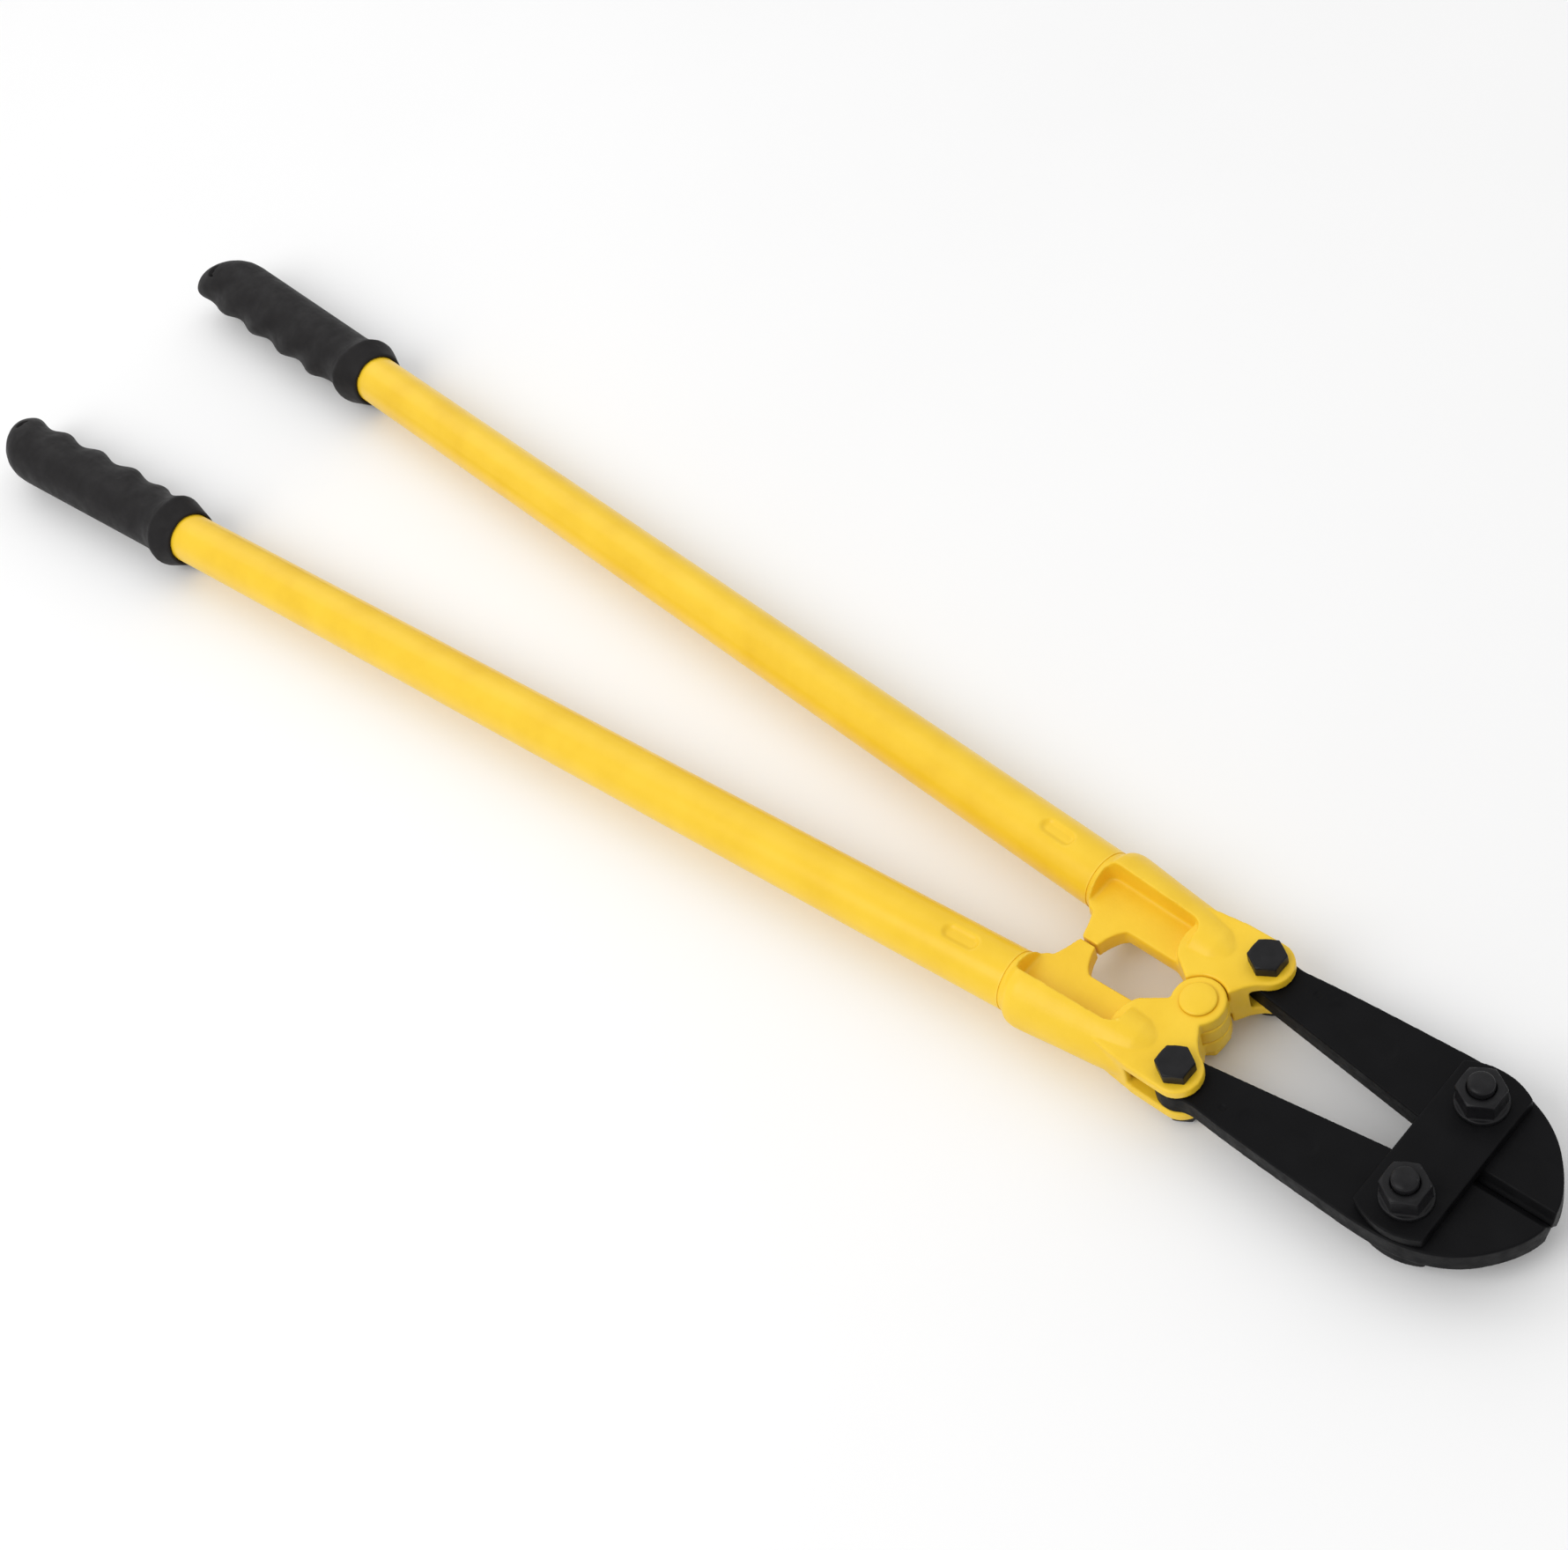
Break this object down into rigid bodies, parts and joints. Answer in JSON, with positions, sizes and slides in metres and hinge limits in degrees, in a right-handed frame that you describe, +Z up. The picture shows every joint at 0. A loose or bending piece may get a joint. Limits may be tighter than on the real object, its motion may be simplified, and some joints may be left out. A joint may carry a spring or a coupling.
{
  "type": "bolt cutters",
  "caption": "Long-handled compound-lever bolt cutters with tubular handles, rubber grips, cast heads, and centre-cut jaws held between two side plates.",
  "frame": {"origin": "middle of the bounding box, on the surface that the closed tool lies on", "axes": "+X along the tool to the blade tips, +Y to the left handle, +Z up, along the pivot axes"},
  "size_m": [0.762, 0.1526, 0.0364],
  "materials": {
    "tube_paint": "gloss yellow paint on steel tube",
    "casting_paint": "yellow paint over a cast surface",
    "grip_rubber": "satin black moulded rubber",
    "jaw_steel": "black oxide on forged alloy steel",
    "fastener_steel": "black oxide on steel fasteners"
  },
  "bodies": {
    "right_handle": {"right_handle_tube": "tube_paint", "right_grip": "grip_rubber", "right_head": "casting_paint", "centre_pivot_bolt": "casting_paint", "centre_pivot_nut": "casting_paint", "right_link_bolt": "fastener_steel", "right_link_nut": "fastener_steel"},
    "left_handle": {"left_handle_tube": "tube_paint", "left_grip": "grip_rubber", "left_head": "casting_paint", "left_link_bolt": "fastener_steel", "left_link_nut": "fastener_steel"},
    "right_jaw": {"right_jaw": "jaw_steel"},
    "side_plates": {"top_side_plate": "jaw_steel", "bottom_side_plate": "jaw_steel", "left_jaw_bolt": "fastener_steel", "right_jaw_bolt": "fastener_steel", "left_jaw_nut": "fastener_steel", "right_jaw_nut": "fastener_steel"},
    "left_jaw": {"left_jaw": "jaw_steel"}
  },
  "joints": [
    {"name": "handle_pivot", "type": "hinge", "parent": "right_handle", "child": "left_handle", "pos_m": [0.2594, 0, 0.0156], "axis": [0, 0, -1], "range_deg": [0, 84]},
    {"name": "right_link_pivot", "type": "hinge", "parent": "right_handle", "child": "right_jaw", "pos_m": [0.2687, -0.02305, 0.0156], "axis": [0, 0, -1], "range_deg": [0, 50.3]},
    {"name": "right_jaw_pivot", "type": "hinge", "parent": "right_jaw", "child": "side_plates", "pos_m": [0.3468, -0.0186, 0.0156], "axis": [0, 0, 1], "range_deg": [0, 8.3]},
    {"name": "left_jaw_pivot", "type": "hinge", "parent": "side_plates", "child": "left_jaw", "pos_m": [0.3468, 0.0186, 0.0156], "axis": [0, 0, 1], "range_deg": [0, 8.3]}
  ],
  "couplings": [
    {"joint": "right_link_pivot", "follows": "handle_pivot", "ratio": 0.5986},
    {"joint": "right_jaw_pivot", "follows": "handle_pivot", "ratio": 0.0986},
    {"joint": "left_jaw_pivot", "follows": "handle_pivot", "ratio": 0.0986}
  ]
}
